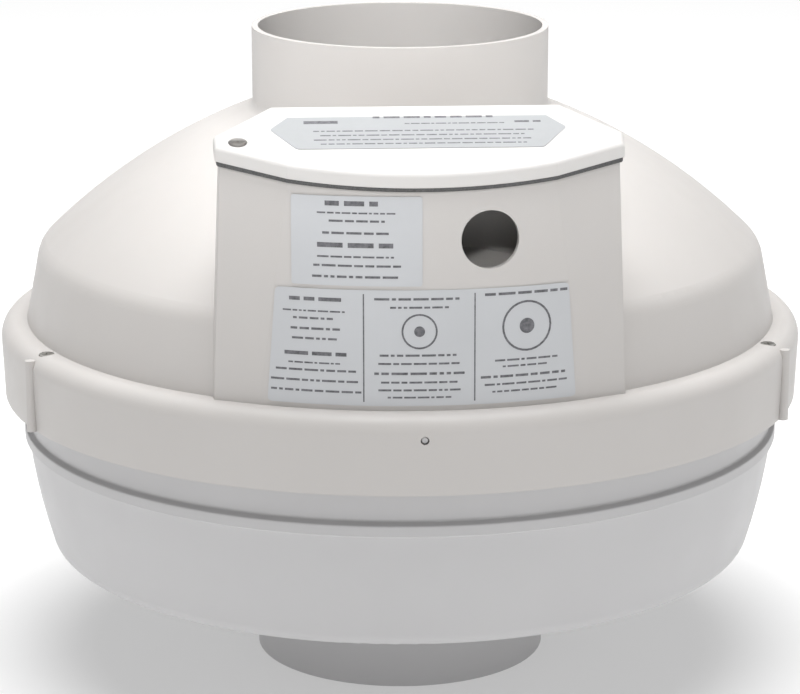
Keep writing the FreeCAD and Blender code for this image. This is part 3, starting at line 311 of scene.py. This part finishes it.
# ---------------------------------------------------------------- labels
class ConeWall:
    """The front of the terminal box: points on it from a distance along its face and a height."""

    def __init__(self):
        vertices = [v.co for v in NODES["danger_label"].data.vertices]
        self.low = min(v.z for v in vertices)
        self.high = max(v.z for v in vertices)
        self.low_radius = self.inner_radius(vertices, self.low)
        self.high_radius = self.inner_radius(vertices, self.high)

    @staticmethod
    def inner_radius(vertices, level):
        return min(math.hypot(v.x, v.y) for v in vertices if abs(v.z - level) < 0.01 * MM)

    def radius(self, level):
        share = (level - self.low) / (self.high - self.low)
        return self.low_radius + share * (self.high_radius - self.low_radius)

    def point(self, across, level, lift):
        radius = self.radius(level)
        angle = across / radius
        raised = radius + lift
        return Vector((raised * math.sin(angle), -raised * math.cos(angle), level))


class LidPlane:
    """The lid's top face: points on it from a distance across and a distance up the slope."""

    def __init__(self):
        vertices = [v.co for v in NODES["rating_label"].data.vertices]
        front = min(vertices, key=lambda v: (round(v.y, 5), v.z))
        rear = max(vertices, key=lambda v: (round(v.y, 5), -v.z))
        self.up = Vector((0, rear.y - front.y, rear.z - front.z)).normalized()
        self.normal = Vector((0, -self.up.z, self.up.y))
        self.centre = Vector((0, (front.y + rear.y) / 2, (front.z + rear.z) / 2))
        self.centre += self.normal * min((v - self.centre).dot(self.normal) for v in vertices)

    def point(self, across, along, lift):
        return self.centre + Vector((across, 0, 0)) + self.up * along + self.normal * lift


def new_piece(name, mesh, material):
    """A piece that is fixed to the casing."""
    piece = bpy.data.objects.new(name, mesh)
    bpy.context.scene.collection.objects.link(piece)
    piece.data.materials.append(material)
    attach(piece, "casing")
    return piece


def thin_patch(surface, corners, low, high, columns=1):
    """Vertices and faces of a closed thin patch between four corners, laid on a surface.

    Corners run round the patch from its lower left; the patch follows the surface in columns.
    """
    (ax, ay), (bx, by), (cx, cy), (dx, dy) = corners
    vertices = []
    for lift in (low, high):
        for i in range(columns + 1):
            share = i / columns
            vertices.append(surface.point(ax + (bx - ax) * share, ay + (by - ay) * share, lift))
            vertices.append(surface.point(dx + (cx - dx) * share, dy + (cy - dy) * share, lift))
    top = 2 * (columns + 1)
    faces = []
    for i in range(columns):
        a, b, c, d = 2 * i, 2 * i + 2, 2 * i + 3, 2 * i + 1
        faces += [(a, d, c, b), (top + a, top + b, top + c, top + d)]
        faces += [(a, b, top + b, top + a), (d, top + d, top + c, c)]
    end = 2 * columns
    faces += [(0, top, top + 1, 1), (end, end + 1, top + end + 1, top + end)]
    return vertices, faces


def merge_patches(name, patches):
    mesh = bpy.data.meshes.new(name)
    vertices = []
    faces = []
    for points, rings in patches:
        start = len(vertices)
        vertices += points
        faces += [[start + index for index in ring] for ring in rings]
    mesh.from_pydata(vertices, [], faces)
    mesh.validate()
    return mesh


def film_outline(corners, radius, steps=5):
    """A polygon with its corners rounded."""
    points = []
    count = len(corners)
    for i, (x, y) in enumerate(corners):
        corner = Vector((x, y))
        before = (Vector(corners[i - 1]) - corner).normalized()
        after = (Vector(corners[(i + 1) % count]) - corner).normalized()
        for step in range(steps + 1):
            share = step / steps
            start, end = corner + before * radius, corner + after * radius
            points.append(start.lerp(corner, share).lerp(corner.lerp(end, share), share))
    return points


FILM_THICK = 0.25 * MM
FILM_GRID = 3 * MM       # width of the strips that let a film follow the wall's curve
PRINT_LOW = FILM_THICK
PRINT_HIGH = 0.29 * MM
DASH_HALF = 0.34         # half of a dash's height, as a share of its line's


def make_film(name, surface, corners, replaced, radius=2 * MM, film="label_film"):
    """A label's film: a rounded outline cut into narrow strips and wrapped on a surface."""
    outline = film_outline(corners, radius)
    bm = bmesh.new()
    ring = [bm.verts.new((point.x, point.y, 0)) for point in outline]
    bm.faces.new(ring)
    xs = [point.x for point in outline]
    cut = min(xs) + FILM_GRID
    while cut < max(xs):
        geometry = bm.verts[:] + bm.edges[:] + bm.faces[:]
        bmesh.ops.bisect_plane(bm, geom=geometry, plane_co=(cut, 0, 0), plane_no=(1, 0, 0))
        cut += FILM_GRID
    raised = bmesh.ops.extrude_face_region(bm, geom=bm.faces[:])
    for item in raised["geom"]:
        if isinstance(item, bmesh.types.BMVert):
            item.co.z = FILM_THICK
    bmesh.ops.recalc_face_normals(bm, faces=bm.faces)
    for vertex in bm.verts:
        vertex.co = surface.point(vertex.co.x, vertex.co.y, vertex.co.z)
    bmesh.ops.recalc_face_normals(bm, faces=bm.faces)
    mesh = bpy.data.meshes.new(name)
    bm.to_mesh(mesh)
    bm.free()
    piece = new_piece(name, mesh, MATERIALS[film])
    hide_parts(replaced)


class Printer:
    """Collects the marks that are printed on one label."""

    def __init__(self, surface):
        self.surface = surface
        self.patches = []

    def patch(self, corners):
        width = max(x for x, _ in corners) - min(x for x, _ in corners)
        columns = max(1, math.ceil(width / (4 * MM)))
        self.patches.append(thin_patch(self.surface, corners, PRINT_LOW, PRINT_HIGH, columns))

    def bar(self, left, right, low, high):
        self.patch([(left, low), (right, low), (right, high), (left, high)])

    def words(self, centre, level, width, height, seed):
        """A line of word-like dashes, of uneven lengths that follow from the seed."""
        left = centre - width / 2
        position = left
        turn = seed
        while position < left + width - height:
            turn = (turn * 37 + 11) % 101
            length = (1.2 + 0.8 * (turn % 5)) * height
            right = min(position + length, left + width)
            self.bar(position, right, level - DASH_HALF * height, level + DASH_HALF * height)
            position = right + 0.7 * height

    def column(self, centre, head, rows, seed):
        """Lines of dashes down from a level: each has its drop, width and height in millimetres."""
        for index, (drop, width, tall) in enumerate(rows):
            self.words(centre, head - drop * MM, width * MM, tall * MM, index + seed)

    def sign(self, centre, low, high, pen):
        """A plain round pictogram: a ring with a dot in its middle."""
        middle = (low + high) / 2
        outer = (high - low) / 2
        self.ring(centre, middle, outer, outer - pen)
        self.ring(centre, middle, outer * 0.3, 0)

    def ring(self, centre, middle, outer, inner, steps=32):
        """A flat ring of short patches; an inner radius of nought makes a dot."""
        for step in range(steps):
            start, end = math.tau * step / steps, math.tau * (step + 1) / steps
            corners = [(inner, start), (outer, start), (outer, end), (inner, end)]
            self.patch([(centre + radius * math.cos(angle), middle + radius * math.sin(angle))
                        for radius, angle in corners])

    def finish(self, name):
        piece = new_piece(name, merge_patches(name, self.patches), INK_MATERIAL)


def make_danger_label(wall):
    """Label in three columns round the foot of the terminal box's front."""
    low, high = wall.low, wall.high
    foot, head = 60 * MM, 56.5 * MM
    make_film("danger_label_film", wall, [(-foot, low), (foot, low), (head, high), (-head, high)],
              "danger_label")
    marks = Printer(wall)
    for across in (-22.6 * MM, 19.3 * MM):
        marks.bar(across - 0.25 * MM, across + 0.25 * MM, low + 1.5 * MM, high - 1.5 * MM)
    left = -41 * MM
    rows = [(4.0, 20, 2.1), (8.6, 25, 0.9), (11.4, 17, 1.2), (15.4, 19, 1.3), (19.2, 18, 1.2),
            (25.0, 24, 2.1), (28.6, 21, 0.9), (31.4, 31, 1.2), (35.4, 35, 1.2), (39.4, 35, 1.2)]
    marks.column(left, high, rows, 3)
    middle = -1.6 * MM
    rows = [(3.4, 34, 1.3), (6.6, 22, 1.1), (25.0, 30, 1.2), (28.2, 31, 1.1), (32.0, 34, 1.4),
            (35.4, 29, 1.1), (38.4, 31, 1.1), (41.2, 24, 1.0)]
    marks.column(middle, high, rows, 23)
    marks.sign(middle, high - 22.6 * MM, high - 9.0 * MM, 0.7 * MM)
    right = 39.6 * MM
    rows = [(2.4, 33, 1.5), (28.0, 25, 1.1), (30.4, 19, 1.0), (34.2, 36, 1.4), (37.2, 33, 1.1),
            (40.0, 27, 1.0)]
    marks.column(right, high, rows, 43)
    marks.sign(right, high - 25.0 * MM, high - 5.4 * MM, 0.8 * MM)
    marks.finish("danger_label_print")


def make_caution_label(wall):
    """Narrow label high on the left of the terminal box's front."""
    low, high = (corner.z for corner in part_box("caution_label"))
    left, right = -50 * MM, -0.5 * MM
    make_film("caution_label_film", wall, [(left, low), (right, low), (right, high), (left, high)],
              "caution_label", radius=1.2 * MM)
    marks = Printer(wall)
    rows = [(2.8, 24, 2.7), (6.4, 30, 0.9), (9.4, 21, 1.2), (14.0, 26, 1.3), (18.6, 30, 2.7),
            (23.0, 30, 1.0), (26.4, 33, 1.2), (30.6, 34, 1.3)]
    marks.column(-25 * MM, high, rows, 61)
    marks.finish("caution_label_print")


def make_rating_label(lid):
    """Six-sided label on the lid."""
    rear, tip, front = (47.5 * MM, 14.6 * MM), (56.5 * MM, 1.6 * MM), (46.5 * MM, -14.6 * MM)
    half = [rear, tip, front]
    corners = [(-x, y) for x, y in half] + [(x, y) for x, y in reversed(half)]
    make_film("rating_label_film", lid, corners, "rating_label", radius=1.5 * MM, film="lid_film")
    marks = Printer(lid)
    marks.words(6 * MM, 11.0 * MM, 46 * MM, 2.2 * MM, 5)
    marks.words(14 * MM, 5.6 * MM, 38 * MM, 0.9 * MM, 9)
    for index, level in enumerate((-0.2, -3.8, -7.4, -10.8)):
        marks.words(2 * MM, level * MM, (84 - 5 * (index % 2)) * MM, 1.1 * MM, index + 12)
    marks.words(-37 * MM, 7.2 * MM, 13 * MM, 3.4 * MM, 17)
    marks.words(42 * MM, 6.6 * MM, 10 * MM, 2.0 * MM, 19)
    marks.finish("rating_label_print")


# ---------------------------------------------------------------- lid seal and painted shadow line
SEAL_SHADE_SPREAD = 1.9 * MM   # how far the foam is pushed out from under the lid, to paint the shadow line under its edge
SEAL_SHADE_DROOP = 1.1 * MM    # how far its lip hangs over the box's rim, widening that painted shadow line
SEAL_ROUND = 0.3 * MM
ON_OUTLINE = 0.02 * MM   # a point nearer than this to an edge lies on it
RIM_ANGLE = 0.9          # radians; sharper edges of the lip are rounded


def outline_edges(points):
    """Edges of the outline that wraps a set of points: a point on each, and the way out of it."""
    flat = [Vector((point.x, point.y)) for point in points]
    hull = [flat[index] for index in convex_hull_2d(flat)]
    middle = sum(hull, Vector((0, 0))) / len(hull)
    edges = []
    for start, end in zip(hull, hull[1:] + hull[:1]):
        along = (end - start).normalized()
        outward = Vector((along.y, -along.x))
        if outward.dot(start - middle) < 0:
            outward.negate()
        edges.append((start, outward))
    return edges


def make_lid_seal_shade_line():
    """The lid's dark foam gasket, pushed out all the way round: a real seal, spread into view as a
    painted shadow line under the lid's edge.
    """
    bm = bmesh.new()
    bm.from_mesh(NODES["lid_gasket"].data)
    bmesh.ops.remove_doubles(bm, verts=bm.verts, dist=0.001 * MM)
    edges = outline_edges([vertex.co for vertex in bm.verts])
    shifts = {}
    for vertex in bm.verts:
        flat = Vector((vertex.co.x, vertex.co.y))
        near = [outward for start, outward in edges
                if abs((flat - start).dot(outward)) < ON_OUTLINE]
        if near:
            outward = sum(near, Vector((0, 0))).normalized() * SEAL_SHADE_SPREAD
            normal = sum((face.normal for face in vertex.link_faces), Vector())
            drop = SEAL_SHADE_DROOP if normal.z < 0 else 0
            shifts[vertex] = Vector((outward.x, outward.y, -drop))
    for vertex, shift in shifts.items():
        vertex.co += shift
    rim = [edge for edge in bm.edges if all(vertex in shifts for vertex in edge.verts)
           and edge.calc_length() > 0.2 * MM and edge.calc_face_angle(0) > RIM_ANGLE]
    bmesh.ops.bevel(bm, geom=rim, offset=SEAL_ROUND, segments=2, affect="EDGES",
                    clamp_overlap=True)
    mesh = bpy.data.meshes.new("lid_seal_shade_line")
    bm.to_mesh(mesh)
    bm.free()
    # the dark lip stands where the lid's edge casts its shadow: painted shadow
    piece = new_piece("lid_seal_shade_line", mesh, MATERIALS["grey_foam"])
    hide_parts("lid_gasket")


# ---------------------------------------------------------------- studio
FLOOR_HALF = 60.0
FLOOR_TONE = (0.52, 0.52, 0.52)
NEAR_RADIUS, FAR_RADIUS = 0.14, 0.26   # the floor's glow grows between these distances; the dimmer glow near the object paints a shadow round its foot
NEAR_GLOW_PAINTED_SHADOW, FAR_GLOW = 0.34, 0.62
BAND_LIGHT, BAND_TOP = 0.80, 0.30      # pale band from the horizon up to this height on the sky
HORIZON_LIGHT, ZENITH_LIGHT = 0.0, 0.50

KEY_PLACE, KEY_SIZE, KEY_POWER = (0.0, -0.08, 2.10), 1.6, 50.0
SPOT_PLACE, SPOT_POWER = (-0.10, -0.95, 0.90), 125.0
SPOT_CONE, SPOT_SOFTNESS = math.radians(12), 0.15
SPOT_AIM = (-0.01, 0, CAD_BOX[1][2] + 0.045)

CAMERA_TARGET = Vector((0, 0, 0.1311))
CAMERA_DISTANCE, CAMERA_LENS, CAMERA_SENSOR = 1.321, 138.6, 36.0
CAMERA_AZIMUTH, CAMERA_ELEVATION = math.radians(-3.2), math.radians(14.92)


def place_and_aim(name, data, place, target):
    """An object, such as a lamp or camera, that stands at a place and looks at a target."""
    item = bpy.data.objects.new(name, data)
    item.location = place
    item.rotation_euler = (Vector(target) - Vector(place)).to_track_quat("-Z", "Y").to_euler()
    bpy.context.scene.collection.objects.link(item)
    return item


def make_floor():
    """Pale floor that glows softly, less so close to the object: the glow is painted light, and its
    dimming there is a painted shadow round the object's foot.
    """
    mesh = bpy.data.meshes.new("floor")
    half = FLOOR_HALF
    corners = [(-half, -half, 0), (half, -half, 0), (half, half, 0), (-half, half, 0)]
    mesh.from_pydata(corners, [], [(0, 1, 2, 3)])
    floor = bpy.data.objects.new("floor", mesh)
    bpy.context.scene.collection.objects.link(floor)
    material, nodes, links, shader = new_material("floor_white", FLOOR_TONE, 0.9)
    away = nodes.new("ShaderNodeVectorMath")
    away.operation = "LENGTH"
    links.new(coordinates(nodes, links), away.inputs[0])
    glow = nodes.new("ShaderNodeMapRange")
    glow.inputs["From Min"].default_value = NEAR_RADIUS
    glow.inputs["From Max"].default_value = FAR_RADIUS
    glow.inputs["To Min"].default_value = NEAR_GLOW_PAINTED_SHADOW
    glow.inputs["To Max"].default_value = FAR_GLOW
    links.new(away.outputs["Value"], glow.inputs["Value"])
    links.new(glow.outputs["Result"], shader.inputs["Emission Strength"])
    shader.inputs["Emission Color"].default_value = (1.0, 1.0, 1.0, 1.0)
    floor.data.materials.append(material)


def make_key():
    """Large soft lamp overhead."""
    data = bpy.data.lights.new("key", "AREA")
    data.shape = "DISK"
    data.size = KEY_SIZE
    data.energy = KEY_POWER
    place_and_aim("key", data, KEY_PLACE, (0, 0, CAD_BOX[1][2] / 2))


def make_spot():
    """Narrow soft lamp that lights the outlet spigot from the front."""
    data = bpy.data.lights.new("spigot_light", "SPOT")
    data.spot_size = SPOT_CONE
    data.spot_blend = 1.0
    data.shadow_soft_size = SPOT_SOFTNESS
    data.energy = SPOT_POWER
    place_and_aim("spigot_light", data, SPOT_PLACE, SPOT_AIM)


def height_range(nodes, links, height, low, high, top=1.0):
    """A value that goes from low at the horizon to high at a height on the sky."""
    item = nodes.new("ShaderNodeMapRange")
    item.inputs["From Max"].default_value = top
    item.inputs["To Min"].default_value = low
    item.inputs["To Max"].default_value = high
    links.new(height, item.inputs["Value"])
    return item.outputs["Result"]


def make_sky():
    """Surrounding light: a narrow pale band at the horizon, dim above it and bright overhead."""
    world = bpy.data.worlds.new("studio")
    world.use_nodes = True
    nodes, links = world.node_tree.nodes, world.node_tree.links
    direction = nodes.new("ShaderNodeTexCoord")
    split = nodes.new("ShaderNodeSeparateXYZ")
    links.new(direction.outputs["Generated"], split.inputs["Vector"])
    height = split.outputs["Z"]
    brighter = nodes.new("ShaderNodeMath")
    brighter.operation = "MAXIMUM"
    sky = height_range(nodes, links, height, HORIZON_LIGHT, ZENITH_LIGHT)
    band = height_range(nodes, links, height, BAND_LIGHT, 0.0, top=BAND_TOP)
    links.new(sky, brighter.inputs[0])
    links.new(band, brighter.inputs[1])
    links.new(brighter.outputs["Value"], nodes["Background"].inputs["Strength"])
    nodes["Background"].inputs["Color"].default_value = (1.0, 1.0, 1.0, 1.0)
    bpy.context.scene.world = world


def make_studio():
    bpy.context.scene.view_settings.view_transform = "Standard"
    make_floor()
    make_sky()
    make_key()
    make_spot()


def make_camera():
    """The camera stands a little left of the terminal box's middle and looks slightly down."""
    level = CAMERA_DISTANCE * math.cos(CAMERA_ELEVATION)
    place = CAMERA_TARGET + Vector((level * math.sin(CAMERA_AZIMUTH),
                                    -level * math.cos(CAMERA_AZIMUTH),
                                    CAMERA_DISTANCE * math.sin(CAMERA_ELEVATION)))
    data = bpy.data.cameras.new("camera")
    data.sensor_width = CAMERA_SENSOR
    data.lens = CAMERA_LENS
    bpy.context.scene.camera = place_and_aim("camera", data, place, CAMERA_TARGET)


make_camera()
dress_nodes()
front_wall = ConeWall()
make_danger_label(front_wall)
make_caution_label(front_wall)
make_rating_label(LidPlane())
make_lid_seal_shade_line()
make_studio()
